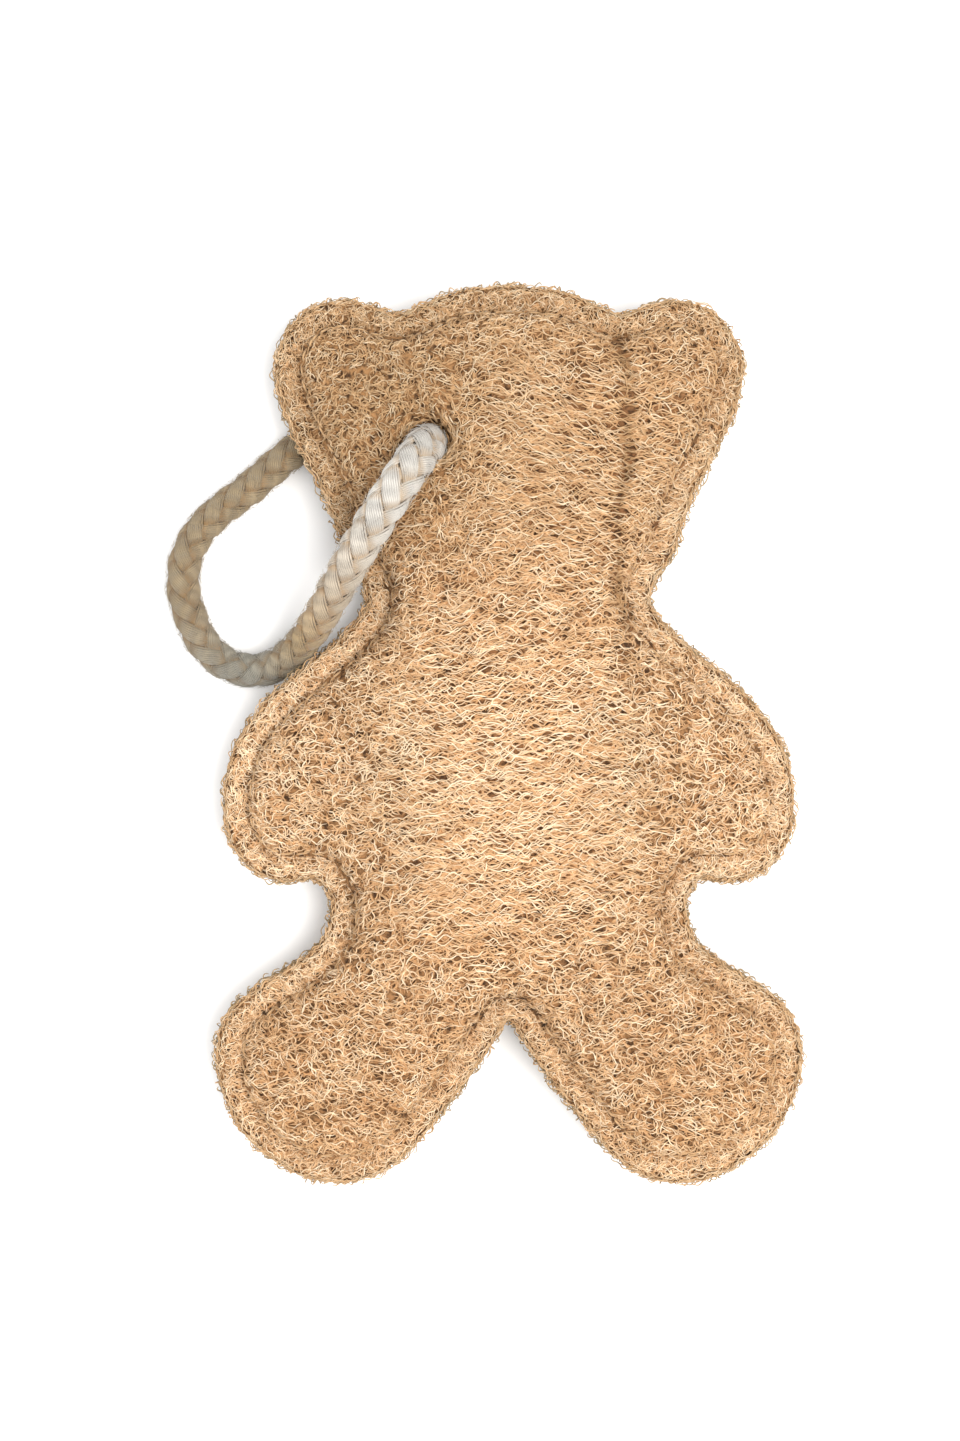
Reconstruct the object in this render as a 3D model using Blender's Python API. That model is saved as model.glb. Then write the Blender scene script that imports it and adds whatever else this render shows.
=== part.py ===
"""A bear-shaped luffa back scrubber with a braided rope loop, lying on its back.

Two luffa panels are lockstitched together all round, with wads of filling between them. A rope
loop goes through the head and swings about its hole. Metres, +Z up: the front faces +Z, the head
is towards +Y, and the origin is on the floor under the middle of the bear.
"""

import bpy
import bmesh
import numpy as np
from mathutils import Vector
from mathutils.geometry import delaunay_2d_cdt

MM = 0.001

# The bear's sewn body.
LENGTH = 255 * MM
PANEL_THICKNESS = 3.2 * MM
SEAM_INSET = 7.5 * MM
SEAM_HEIGHT = 20.0 * MM
FIT_GAP = 0.3 * MM
PUFF_GAIN = 0.80  # how high the filling pushes the panels, for the width between the seams
PUFF_LIMIT = 19.8 * MM

# The right half of the outline, from the top of the head down to the crotch. The left half mirrors it.
HALF_OUTLINE_MM = [
    (0, 127.8), (15.5, 126), (24, 122.6), (32.3, 119.9), (39.5, 122.2), (47, 123.5), (55, 122.2),
    (62.5, 115.8), (66.4, 105.8), (64.2, 93.8), (57.8, 79.2), (51.6, 66.9), (46.6, 53), (40, 38.5),
    (47, 28.4), (57.5, 19.7), (69.2, 9.1), (78.1, -4.3), (80.8, -18.9), (78.8, -30.6), (72.8, -38),
    (64, -41.3), (54.5, -40.6), (50.6, -46), (50.6, -52.6), (53.8, -59.6), (61, -65.4), (70, -70.9),
    (78.1, -77.5), (82.5, -86), (82.9, -94.5), (80.6, -103.6), (75.4, -112.8), (67.5, -120.3),
    (57.5, -125.6), (47, -127), (37.5, -124.6), (28.5, -118.2), (20.6, -108.6), (12.9, -98.9),
    (5.2, -88),
]
CROTCH_MM = (0, -80.6)
OUTLINE_STEP = 6.0 * MM

# The rope, its hole and its route: down from the front of the head, round the loop on the floor,
# and back under the head. The bend at each mouth of the hole follows one radius.
ROPE_DIAMETER = 10 * MM
ROPE_BEND = 20 * MM
HOLE = (-22.4 * MM, 82.6 * MM)
HOLE_RADIUS = 7.2 * MM
ROPE_CLEARANCE = 1.3 * MM
ROPE_ON_FLOOR = ROPE_DIAMETER / 2 + FIT_GAP
BEND_CENTRE_HEIGHT = ROPE_ON_FLOOR + ROPE_BEND
FRONT_HEADING = np.radians(238.5)
BACK_HEADING = np.radians(165)
LOOP_ROUTE_MM = [
    (-38.3, 57.2, 43.4), (-43.6, 48.9, 39.6), (-48.9, 40.2, 34.2), (-54.4, 31.9, 26.2),
    (-60.1, 25.2, 17.4), (-66.3, 20.6, 10.6), (-73.2, 18.4, 6.6), (-80.6, 19.6, 5.3),
    (-87.4, 24.6, 5.3), (-92.2, 33.0, 5.3), (-94.8, 42.9, 5.3), (-93.6, 52.4, 5.3),
    (-89.4, 59.8, 5.3), (-84.2, 65.0, 5.3), (-77.6, 69.8, 5.3), (-69.0, 77.2, 5.3),
    (-60.4, 83.8, 5.3), (-50.4, 87.4, 5.3),
]
BEND_TURNS = np.radians([0.8, 12, 24, 36, 48, 60, 72, 84])  # the points along each mouth's bend
ROPE_STEP = 9 * MM
WHIPPING_LENGTH = 8 * MM
WHIPPING_INNER_RADIUS = 6.1 * MM
WHIPPING_OUTER_RADIUS = 6.8 * MM
WHIPPING_SIDES = 24

# The head is thinner at the back, where the rope lies under it.
HEAD_CLEAR_HEIGHT = ROPE_DIAMETER + FIT_GAP + ROPE_CLEARANCE
NECK_FADE = (20 * MM, 60 * MM)
HEAD_RISE_SLOPE = 0.3  # how steeply the front may rise beyond the rope's bend

# The filling and the threads.
WAD_INSET = 3.5 * MM  # from the seam
WAD_GAP = 0.5 * MM
NECK_Y = 37 * MM
HIP_Y = -58 * MM
ARM_X = 47 * MM
THREAD_RADIUS = 0.45 * MM
THREAD_INSET = 6.6 * MM

MEMBRANE_CELL = 2.5 * MM
MEMBRANE_ROUNDS = 1200
# The meshes' fineness.
GRID_STEP = 10 * MM
GRID_EDGE_GAP = 4 * MM  # between the grid and the innermost outline
HOLE_SIDES = 16
HOLE_RINGS = (HOLE_RADIUS, 10 * MM, 14 * MM)
HOLE_GRID_RADIUS = 19 * MM  # the grid stays outside it
SHARP_ANGLE = np.radians(40)


def clear_scene():
    for thing in list(bpy.data.objects):
        bpy.data.objects.remove(thing, do_unlink=True)


def material(name, colour, roughness):
    made = bpy.data.materials.new(name)
    made.use_nodes = True
    shader = made.node_tree.nodes["Principled BSDF"]
    shader.inputs["Base Color"].default_value = (*colour, 1)
    shader.inputs["Roughness"].default_value = roughness
    shader.inputs["Metallic"].default_value = 0
    return made


def add_object(name, data, its_material):
    made = bpy.data.objects.new(name, data)
    bpy.context.scene.collection.objects.link(made)
    data.materials.append(its_material)
    return made


def smooth_curve(points, closed, samples=24):
    """Centripetal Catmull-Rom curve through the points, finely sampled."""
    points = np.asarray(points, float)
    if closed:
        ends = np.vstack([points[-1], points, points[:2]])
    else:
        ends = np.vstack([2 * points[0] - points[1], points, 2 * points[-1] - points[-2]])
    curve = []
    for p0, p1, p2, p3 in zip(ends, ends[1:], ends[2:], ends[3:]):
        k1 = np.linalg.norm(p1 - p0) ** 0.5
        k2 = k1 + np.linalg.norm(p2 - p1) ** 0.5
        k3 = k2 + np.linalg.norm(p3 - p2) ** 0.5
        t = np.linspace(k1, k2, samples, endpoint=False)[:, None]
        a1 = (k1 - t) / k1 * p0 + t / k1 * p1
        a2 = (k2 - t) / (k2 - k1) * p1 + (t - k1) / (k2 - k1) * p2
        a3 = (k3 - t) / (k3 - k2) * p2 + (t - k2) / (k3 - k2) * p3
        b1 = (k2 - t) / k2 * a1 + t / k2 * a2
        b2 = (k3 - t) / (k3 - k1) * a2 + (t - k1) / (k3 - k1) * a3
        curve.append((k2 - t) / (k2 - k1) * b1 + (t - k1) / (k2 - k1) * b2)
    if not closed:
        curve.append(points[-1:])
    return np.vstack(curve)


def even_points(curve, step, closed):
    """Points at an even spacing near step along the curve."""
    if closed:
        curve = np.vstack([curve, curve[:1]])
    along = np.r_[0, np.cumsum(np.linalg.norm(np.diff(curve, axis=0), axis=1))]
    count = max(3, round(along[-1] / step))
    at = np.linspace(0, along[-1], count + 1)
    if closed:
        at = at[:-1]
    return np.column_stack([np.interp(at, along, curve[:, i]) for i in range(curve.shape[1])])


def bear_outline():
    """The outline, clockwise seen from the front, centred on the origin at its full length."""
    left = [(-x, y) for x, y in HALF_OUTLINE_MM[:0:-1]]
    curve = smooth_curve(np.array(HALF_OUTLINE_MM + [CROTCH_MM] + left) * MM, True)
    ring = even_points(curve, OUTLINE_STEP, True)
    low, high = ring.min(axis=0), ring.max(axis=0)
    return (ring - (low + high) / 2) * (LENGTH / (high[1] - low[1]))


def inset(ring, distance):
    """The ring moved inwards. It runs clockwise, so inwards is to its right."""
    along = np.roll(ring, -1, axis=0) - np.roll(ring, 1, axis=0)
    along /= np.linalg.norm(along, axis=1)[:, None]
    return ring + distance * np.column_stack([along[:, 1], -along[:, 0]])


def distance_to_ring(points, ring):
    start = ring[None]
    run = (np.roll(ring, -1, axis=0) - ring)[None]
    offset = points[:, None] - start
    share = np.clip((offset * run).sum(2) / (run * run).sum(2), 0, 1)
    return np.linalg.norm(offset - share[..., None] * run, axis=2).min(axis=1)


def inside_ring(points, ring):
    x, y = points[:, 0, None], points[:, 1, None]
    ax, ay = ring.T[:, None]
    bx, by = np.roll(ring, -1, axis=0).T[:, None]
    crosses = (ay > y) != (by > y)
    rise = np.where(by == ay, 1, by - ay)
    return (crosses & (x < (bx - ax) * (y - ay) / rise + ax)).sum(axis=1) % 2 == 1


class Puff:
    """How far the filling pushes each panel out: the square root of a membrane held at the seam."""

    def __init__(self, seam):
        low = seam.min(axis=0) - 2 * MEMBRANE_CELL
        size = np.ceil((seam.max(axis=0) + 2 * MEMBRANE_CELL - low) / MEMBRANE_CELL).astype(int) + 1
        xs, ys = (low[i] + np.arange(size[i]) * MEMBRANE_CELL for i in (0, 1))
        cells = np.column_stack([a.ravel() for a in np.meshgrid(xs, ys, indexing="ij")])
        held = ~inside_ring(cells, seam).reshape(size)
        sheet = np.zeros(size)
        for _ in range(MEMBRANE_ROUNDS):
            around = sheet[:-2, 1:-1] + sheet[2:, 1:-1] + sheet[1:-1, :-2] + sheet[1:-1, 2:]
            sheet[1:-1, 1:-1] = (around + MEMBRANE_CELL**2) / 4
            sheet[held] = 0
        self.low, self.sheet, self.seam = low, sheet, seam

    def __call__(self, points):
        at = (points - self.low) / MEMBRANE_CELL
        cell = np.clip(np.floor(at).astype(int), 0, np.array(self.sheet.shape) - 2)
        fx, fy = np.clip(at - cell, 0, 1).T
        i, j = cell.T
        across = self.sheet[i, j] * (1 - fx) + self.sheet[i + 1, j] * fx
        beyond = self.sheet[i, j + 1] * (1 - fx) + self.sheet[i + 1, j + 1] * fx
        height = PUFF_GAIN * np.sqrt(across * (1 - fy) + beyond * fy)
        free = inside_ring(points, self.seam) & (distance_to_ring(points, self.seam) > FIT_GAP)
        return np.where(free, PUFF_LIMIT * np.tanh((height / PUFF_LIMIT) ** 1.5) ** (1 / 1.5), 0)


def rope_funnel(points):
    """How far from the hole's middle height the panels may reach, next to the bending rope."""
    from_axis = np.linalg.norm(points - HOLE, axis=1)
    inner = ROPE_BEND - ROPE_DIAMETER / 2
    reach = np.clip(ROPE_BEND - from_axis, 0, inner)
    return np.sqrt(inner**2 - reach**2) - ROPE_CLEARANCE


def front_height(points, puff):
    """The front panel's outer surface."""
    free = SEAM_HEIGHT + FIT_GAP / 2 + PANEL_THICKNESS + puff(points)
    return np.minimum(free, BEND_CENTRE_HEIGHT + rope_funnel(points) + head_rise(points))


def head_rise(points):
    """Past the rope's bend the head's front is free to rise towards its middle."""
    from_axis = np.linalg.norm(points - HOLE, axis=1)
    return HEAD_RISE_SLOPE * np.clip(from_axis - ROPE_BEND, 0, None)


def back_height(points, puff):
    """The back panel's outer surface, flat where it rests on the floor."""
    free = SEAM_HEIGHT - FIT_GAP / 2 - PANEL_THICKNESS - puff(points)
    fade = np.clip((points[:, 1] - NECK_FADE[0]) / (NECK_FADE[1] - NECK_FADE[0]), 0, 1)
    held_up = HEAD_CLEAR_HEIGHT * fade * fade * (3 - 2 * fade)
    in_funnel = BEND_CENTRE_HEIGHT - rope_funnel(points)
    near_hole = np.linalg.norm(points - HOLE, axis=1) < ROPE_BEND
    return np.maximum(np.maximum(free, held_up), np.where(near_hole, in_funnel, 0))


def flat_mesh(rings):
    """Triangles over the outer ring less the round hole, through every ring and an even inner grid."""
    turn = np.arange(HOLE_SIDES) * 2 * np.pi / HOLE_SIDES
    round_hole = np.column_stack([np.cos(turn), np.sin(turn)])
    loops = rings + [HOLE + radius * round_hole for radius in HOLE_RINGS]
    low, high = rings[0].min(axis=0), rings[0].max(axis=0)
    row_step = GRID_STEP * 3**0.5 / 2
    grid = [
        (x + (row % 2) * GRID_STEP / 2, y)
        for row, y in enumerate(np.arange(low[1], high[1], row_step))
        for x in np.arange(low[0], high[0], GRID_STEP)
    ]
    grid = np.array(grid)
    inner = rings[-1]
    keep = inside_ring(grid, inner) & (distance_to_ring(grid, inner) > GRID_EDGE_GAP)
    keep &= np.linalg.norm(grid - HOLE, axis=1) > HOLE_GRID_RADIUS
    points = np.vstack(loops + [grid[keep]])
    edges = []
    first = 0
    for loop in loops:
        edges += [(first + i, first + (i + 1) % len(loop)) for i in range(len(loop))]
        first += len(loop)
    found, _, faces, *_ = delaunay_2d_cdt([Vector(p) for p in points], edges, [], 0, 1e-7)
    found = np.array([tuple(p) for p in found])
    faces = faces_inside(found, faces, rings[0])
    return found, faces_inside(found, faces, HOLE + HOLE_RADIUS * round_hole, keep=False)


def faces_inside(points, faces, ring, keep=True):
    middles = np.array([points[list(face)].mean(axis=0) for face in faces])
    return [tuple(face) for face, inside in zip(faces, inside_ring(middles, ring)) if inside == keep]


def slab(name, points, faces, low, high):
    """A closed mesh between two height fields over the same flat triangles."""
    count = len(points)
    top = [tuple(face) for face in faces]
    sides = {}
    for face in top:
        for a, b in zip(face, face[1:] + face[:1]):
            if sides.pop((b, a), None) is None:
                sides[(a, b)] = True
    verts = [(*p, z) for p, z in zip(points, high)] + [(*p, z) for p, z in zip(points, low)]
    under = [tuple(i + count for i in reversed(face)) for face in top]
    walls = [(b, a, a + count, b + count) for a, b in sides]
    mesh = bpy.data.meshes.new(name)
    mesh.from_pydata(verts, [], top + under + walls)
    shape = bmesh.new()
    shape.from_mesh(mesh)
    bmesh.ops.delete(shape, geom=[v for v in shape.verts if not v.link_faces], context="VERTS")
    bmesh.ops.recalc_face_normals(shape, faces=shape.faces)
    shape.to_mesh(mesh)
    shape.free()
    mesh.shade_smooth()
    mesh.set_sharp_from_angle(angle=SHARP_ANGLE)
    return mesh


def panels(points, faces, puff):
    luffa = material("luffa_front", (0.74, 0.50, 0.26), 0.85)
    outer = front_height(points, puff)
    add_object("front_panel", slab("front_panel", points, faces, outer - PANEL_THICKNESS, outer), luffa)
    luffa = material("luffa_back", (0.66, 0.46, 0.25), 0.85)
    outer = back_height(points, puff)
    add_object("back_panel", slab("back_panel", points, faces, outer, outer + PANEL_THICKNESS), luffa)


def cut(mesh, name, planes):
    """A copy of the mesh kept on the far side of each (point, direction) plane, and closed there."""
    shape = bmesh.new()
    shape.from_mesh(mesh)
    for point, direction in planes:
        everything = shape.verts[:] + shape.edges[:] + shape.faces[:]
        cut_here = bmesh.ops.bisect_plane(
            shape, geom=everything, plane_co=point, plane_no=direction, clear_inner=True
        )
        rim = [e for e in cut_here["geom_cut"] if isinstance(e, bmesh.types.BMEdge)]
        bmesh.ops.holes_fill(shape, edges=rim, sides=0)
    bmesh.ops.triangulate(shape, faces=[f for f in shape.faces if len(f.verts) > 4])
    bmesh.ops.recalc_face_normals(shape, faces=shape.faces)
    made = bpy.data.meshes.new(name)
    shape.to_mesh(made)
    shape.free()
    return made


def wads(points, faces, puff):
    """The filling, cut into the wads that are pushed into the head, body, arms and legs."""
    clear = PANEL_THICKNESS + WAD_GAP
    low = back_height(points, puff) + clear
    high = front_height(points, puff) - clear
    whole = slab("filling", points, faces, low, high)
    half = FIT_GAP / 2
    up, down, left, right = (0, 1, 0), (0, -1, 0), (-1, 0, 0), (1, 0, 0)
    between = [((0, NECK_Y - half, 0), down), ((0, HIP_Y + half, 0), up)]
    legs = [((0, HIP_Y - half, 0), down)]
    pieces = {
        "head_wad": [((0, NECK_Y + half, 0), up)],
        "torso_wad": between + [((ARM_X - half, 0, 0), left), ((half - ARM_X, 0, 0), right)],
        "left_arm_wad": between + [((-ARM_X - half, 0, 0), left)],
        "right_arm_wad": between + [((ARM_X + half, 0, 0), right)],
        "left_leg_wad": legs + [((-half, 0, 0), left)],
        "right_leg_wad": legs + [((half, 0, 0), right)],
    }
    for name, planes in pieces.items():
        fibre = material(name, (0.80, 0.66, 0.45), 0.9)
        add_object(name, cut(whole, name, planes), fibre)
    bpy.data.meshes.remove(whole)


def tube(name, points, radius, sides_resolution, closed, its_material):
    curve = bpy.data.curves.new(name, "CURVE")
    curve.dimensions = "3D"
    curve.bevel_depth = radius
    curve.bevel_resolution = sides_resolution
    curve.use_fill_caps = not closed
    spline = curve.splines.new("POLY")
    spline.points.add(len(points) - 1)
    for spot, point in zip(spline.points, points):
        spot.co = (*point, 1)
    spline.use_cyclic_u = closed
    return add_object(name, curve, its_material)


def threads(outline):
    line = inset(outline, THREAD_INSET)
    off_seam = FIT_GAP / 2 + PANEL_THICKNESS + FIT_GAP + THREAD_RADIUS
    for name, height in (
        ("needle_thread", SEAM_HEIGHT + off_seam), ("bobbin_thread", SEAM_HEIGHT - off_seam)
    ):
        cotton = material(name, (0.70, 0.44, 0.22), 0.8)
        route = np.column_stack([line, np.full(len(line), height)])
        tube(name, route, THREAD_RADIUS, 0, True, cotton)


def hole_bend(heading, sign):
    """The rope's quarter turn from upright in the hole to level, as points from the join outwards."""
    out = ROPE_BEND * (1 - np.cos(BEND_TURNS))
    height = BEND_CENTRE_HEIGHT + sign * ROPE_BEND * np.sin(BEND_TURNS)
    x = HOLE[0] + out * np.cos(heading)
    y = HOLE[1] + out * np.sin(heading)
    return np.column_stack([x, y, height])


def rope():
    route = np.vstack([
        hole_bend(FRONT_HEADING, 1), np.array(LOOP_ROUTE_MM) * MM, hole_bend(BACK_HEADING, -1)[::-1]
    ])
    line = even_points(smooth_curve(route, False), ROPE_STEP, False)
    cotton = material("rope_cotton", (0.86, 0.80, 0.68), 0.9)
    tube("rope_loop", line, ROPE_DIAMETER / 2, 2, False, cotton)


def whipping():
    """The thread sleeve over the rope's butted ends, in the middle of the head."""
    shape = bmesh.new()
    rings = []
    for radius, end in (
        (WHIPPING_OUTER_RADIUS, -1), (WHIPPING_OUTER_RADIUS, 1),
        (WHIPPING_INNER_RADIUS, 1), (WHIPPING_INNER_RADIUS, -1),
    ):
        made = bmesh.ops.create_circle(shape, segments=WHIPPING_SIDES, radius=radius)["verts"]
        bmesh.ops.translate(shape, verts=made, vec=(0, 0, end * WHIPPING_LENGTH / 2))
        rings.append(made)
    for lower, upper in zip(rings, rings[1:] + rings[:1]):
        for i in range(WHIPPING_SIDES):
            j = (i + 1) % WHIPPING_SIDES
            shape.faces.new((lower[i], lower[j], upper[j], upper[i]))
    bmesh.ops.recalc_face_normals(shape, faces=shape.faces)
    mesh = bpy.data.meshes.new("join_whipping")
    shape.to_mesh(mesh)
    shape.free()
    mesh.shade_smooth()
    mesh.set_sharp_from_angle(angle=SHARP_ANGLE)
    sleeve = add_object("join_whipping", mesh, material("whipping_thread", (0.83, 0.77, 0.65), 0.8))
    sleeve.location = (*HOLE, BEND_CENTRE_HEIGHT)


def main():
    clear_scene()
    outline = bear_outline()
    seam = inset(outline, SEAM_INSET)
    puff = Puff(seam)
    wad_edge = inset(outline, SEAM_INSET + WAD_INSET)
    points, faces = flat_mesh([outline, seam, wad_edge])
    panels(points, faces, puff)
    wads(points, faces_inside(points, faces, wad_edge), puff)
    threads(outline)
    rope()
    whipping()


main()
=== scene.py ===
import bpy
import numpy as np
from numpy.linalg import norm
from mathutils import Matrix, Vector
from mathutils.geometry import delaunay_2d_cdt


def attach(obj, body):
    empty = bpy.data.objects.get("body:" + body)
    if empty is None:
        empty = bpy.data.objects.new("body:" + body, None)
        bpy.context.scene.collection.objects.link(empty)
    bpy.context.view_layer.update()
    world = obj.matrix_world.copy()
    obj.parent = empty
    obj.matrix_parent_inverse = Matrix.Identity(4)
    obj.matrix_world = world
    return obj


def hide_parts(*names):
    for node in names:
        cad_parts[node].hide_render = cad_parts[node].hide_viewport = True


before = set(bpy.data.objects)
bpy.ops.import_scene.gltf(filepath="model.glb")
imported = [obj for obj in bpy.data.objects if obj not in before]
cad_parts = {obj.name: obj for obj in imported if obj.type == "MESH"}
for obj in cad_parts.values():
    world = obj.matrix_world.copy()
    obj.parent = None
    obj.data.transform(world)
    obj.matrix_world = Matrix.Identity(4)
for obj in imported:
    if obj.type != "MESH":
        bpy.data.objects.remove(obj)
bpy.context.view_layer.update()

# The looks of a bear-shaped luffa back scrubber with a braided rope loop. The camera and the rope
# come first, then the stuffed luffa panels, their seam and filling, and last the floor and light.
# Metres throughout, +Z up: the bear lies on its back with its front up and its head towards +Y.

MM = 0.001
TURN = 2 * np.pi

# The camera looks straight down on the bear, as far off as the photograph's framing needs.
CAMERA_PLACE = (-8.2 * MM, 3.9 * MM, 720 * MM)
CAMERA_LENS = 61.2
FLOOR_HALF = 14.0

# The sewn body, as in the CAD.
LENGTH = 255 * MM
PANEL_THICKNESS = 3.2 * MM
SEAM_INSET = 7.5 * MM
SEAM_HEIGHT = 20.0 * MM
HALF_GAP = 0.15 * MM
PUFF_GAIN = 0.80
PUFF_LIMIT = 19.8 * MM
HALF_OUTLINE_MM = [
    (0, 127.8), (15.5, 126), (24, 122.6), (32.3, 119.9), (39.5, 122.2), (47, 123.5), (55, 122.2),
    (62.5, 115.8), (66.4, 105.8), (64.2, 93.8), (57.8, 79.2), (51.6, 66.9), (46.6, 53), (40, 38.5),
    (47, 28.4), (57.5, 19.7), (69.2, 9.1), (78.1, -4.3), (80.8, -18.9), (78.8, -30.6), (72.8, -38),
    (64, -41.3), (54.5, -40.6), (50.6, -46), (50.6, -52.6), (53.8, -59.6), (61, -65.4), (70, -70.9),
    (78.1, -77.5), (82.5, -86), (82.9, -94.5), (80.6, -103.6), (75.4, -112.8), (67.5, -120.3),
    (57.5, -125.6), (47, -127), (37.5, -124.6), (28.5, -118.2), (20.6, -108.6), (12.9, -98.9),
    (5.2, -88),
]
CROTCH_MM = (0, -80.6)

# The rope, its hole and its route, as in the CAD.
ROPE_DIAMETER = 10 * MM
ROPE_BEND = 20 * MM
HOLE = np.array([-22.4, 82.6]) * MM
BEND_CENTRE_HEIGHT = 25.3 * MM
FRONT_HEADING = np.radians(238.5)
BACK_HEADING = np.radians(165)
LOOP_ROUTE_MM = [
    (-38.3, 57.2, 43.4), (-43.6, 48.9, 39.6), (-48.9, 40.2, 34.2), (-54.4, 31.9, 26.2),
    (-60.1, 25.2, 17.4), (-66.3, 20.6, 10.6), (-73.2, 18.4, 6.6), (-80.6, 19.6, 5.3),
    (-87.4, 24.6, 5.3), (-92.2, 33.0, 5.3), (-94.8, 42.9, 5.3), (-93.6, 52.4, 5.3),
    (-89.4, 59.8, 5.3), (-84.2, 65.0, 5.3), (-77.6, 69.8, 5.3), (-69.0, 77.2, 5.3),
    (-60.4, 83.8, 5.3), (-50.4, 87.4, 5.3),
]
ROPE_STEP = 9 * MM
ROPE_GAP = 0.7 * MM  # between the luffa and the rope that lies on it
HEAD_CLEAR_HEIGHT = 11.6 * MM
NECK_FADE = (20 * MM, 60 * MM)
SWING = np.radians(125)  # how far the rope turns about its hole, clockwise from its rest

# The braid: four strands turn each way, and each goes over two and under two.
BRAID_PITCH = 31 * MM
BRAID_RADIUS = 4.05 * MM
BRAID_RISE = 0.65 * MM
STRANDS_EACH_WAY = 4
YARNS = 9
YARN_RADIUS = 0.36 * MM
YARN_SPACING = 0.54 * MM
YARN_SIDES = 5
YARN_TWIST = 0.9 * MM
STRAND_ROUNDING = 0.6 * MM
BRAID_STEP = 1.05 * MM
FACING_LEAN = np.radians(14)  # how far the ridge that faces up leans to the left
CORE_RADIUS = 3.4 * MM
CORE_SIDES = 12
CORE_STEP = 2 * MM
FUZZ_COUNT = 2600
FUZZ_RADIUS = 0.05 * MM
FUZZ_POINTS = 5
FRONT_STRAND_SPAN = (35 * MM, 84 * MM)  # the rope is palest next to the bear's front, and painted shade with some wear darkens it along the loop
FRONT_SWELL = 0.15  # and thickest there
TAN_LENGTH = (74 * MM, 106 * MM, 112 * MM, 136 * MM)  # painted shade greys the bottom of the loop, else tan
TAN_SHARE = (1.0, 0.0, 0.0, 0.55)
WHIPPING_RADIUS = 6.45 * MM
WHIPPING_THREAD = 0.36 * MM
THREAD_SIDES = 6
WHIPPING_LENGTH = 8 * MM
WHIPPING_POINTS = 28  # in each of its turns

# The luffa's fibres.
SIDES = {True: "front", False: "back"}
FIELD_CELL = 1.5 * MM
FIELD_MARGIN = 6 * MM
DEPTH_GRID, FRONT_GRIDS, BACK_GRIDS, INWARD_GRIDS = [0], [1, 3, 4], [2, 5, 6], [7, 8]
STEEPEST = 2.2  # the steepest slope a face's direction follows
MEMBRANE_ROUNDS = 3000
OUTLINE_STEP = 2 * MM
GROOVE_DEPTH = 0.7 * MM  # the groove that the seam pulls in, and its width
GROOVE_WIDTH = 1.2 * MM
LUMP_HEIGHT = 0.45 * MM
EDGE_RADIUS = 1.2 * MM
FIBRE_POINTS = 9
FIBRE_SIDES = 3
FIBRE_SPACING = 2.75 * MM
FINE_SPACING = 2.25 * MM
FLANGE_SPACING = 1.6 * MM
FIBRES_IN_A_LAYER = 3950
HOLE_EDGE = 4.8 * MM
HOLE_RIM_HEIGHT = 31.5 * MM
HOLE_DIP = 12.5 * MM
HOLE_DIP_WIDTH = 6 * MM
HOLE_FIBRES = 110
HOLE_FIBRE_RADIUS = 0.27 * MM
HOLE_SIDES = 28
HOLE_RINGS = (HOLE_EDGE, 7.2 * MM, 9.4 * MM)  # the pad's own points round the hole
HOLE_GRID_GAP = 11.2 * MM
HOLE_PUSH = 8 * MM  # how far past the hole's edge the rope has pushed the fibres aside
NET_ROW = 1.1 * MM  # the level net, mostly on the chest and the right of the head
NET_CELL = 5.6 * MM
NET_RUN = (4 * MM, 8 * MM)
NET_POINTS = 9
PORE_CELL = 0.35 * MM
PORE_SPACING = 5.4 * MM
PORE_REACH = 2.4 * MM
CREASE_DEPTH = 2.8 * MM
PAD_STEP = 2.6 * MM
PAD_RINGS = (0.7 * MM, 1.8 * MM)  # the pad's own points just inside the outline
PAD_RING_STEP = 2.2 * MM
PAD_GRID_INSET = 3 * MM
PAD_DEPTH = 0.9 * MM  # how far the pad lies under the face that the fibres follow
PAD_THICKNESS = 2.0 * MM
PAD_THINNEST = 0.4 * MM
PAD_LOWEST = 0.6 * MM
RIM_FIBRES = 2600
RIM_FIBRE_RADIUS = 0.2 * MM
WAD_VOXEL = 2.6 * MM
WAD_LUMPS = 1.1 * MM
WAD_CLUMPS = 6 * MM
STITCH_LENGTH = 4.7 * MM
STITCH_RADIUS = 0.34 * MM
STITCH_POINTS = 9


def linked(name, data):
    """A new object, linked into the scene."""
    made = bpy.data.objects.new(name, data)
    bpy.context.scene.collection.objects.link(made)
    return made


def add_object(name, data, material):
    data.name = name
    data.materials.append(material)
    return linked(name, data)


def add_piece(name, mesh, material, body, replaces=None):
    """A piece on one of the frame's bodies, which may stand for one of its nodes."""
    piece = add_object(name, mesh, material)
    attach(piece, body)
    if replaces:
        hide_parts(replaces)
    return piece


def add_luffa(name, mesh, material, front, replaces=None):
    """A piece of the front or the back panel."""
    side = SIDES[front]
    return add_piece(f"{side}_{name}", mesh, material, "bear", replaces)


# ---- shader nodes


def feed(tree, socket, value):
    """Sets the socket's value, or links another node's output to it."""
    if isinstance(value, bpy.types.NodeSocket):
        tree.links.new(value, socket)
    else:
        socket.default_value = value


def add_node(tree, kind, settings=None, **inputs):
    """A new shader node. An input is a value, or another node's output to link."""
    made = tree.nodes.new(kind)
    for key, value in (settings or {}).items():
        setattr(made, key, value)
    for key, value in inputs.items():
        feed(tree, made.inputs[key.replace("_", " ")], value)
    return made


def colour_ramp(tree, factor, stops):
    """A colour ramp through (position, (r, g, b)) stops."""
    made = add_node(tree, "ShaderNodeValToRGB", Fac=factor)
    elements = made.color_ramp.elements
    while len(elements) < len(stops):
        elements.new(0.5)
    for element, (position, colour) in zip(elements, stops):
        element.position = position
        element.color = (*colour, 1)
    return made.outputs["Color"]


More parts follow.
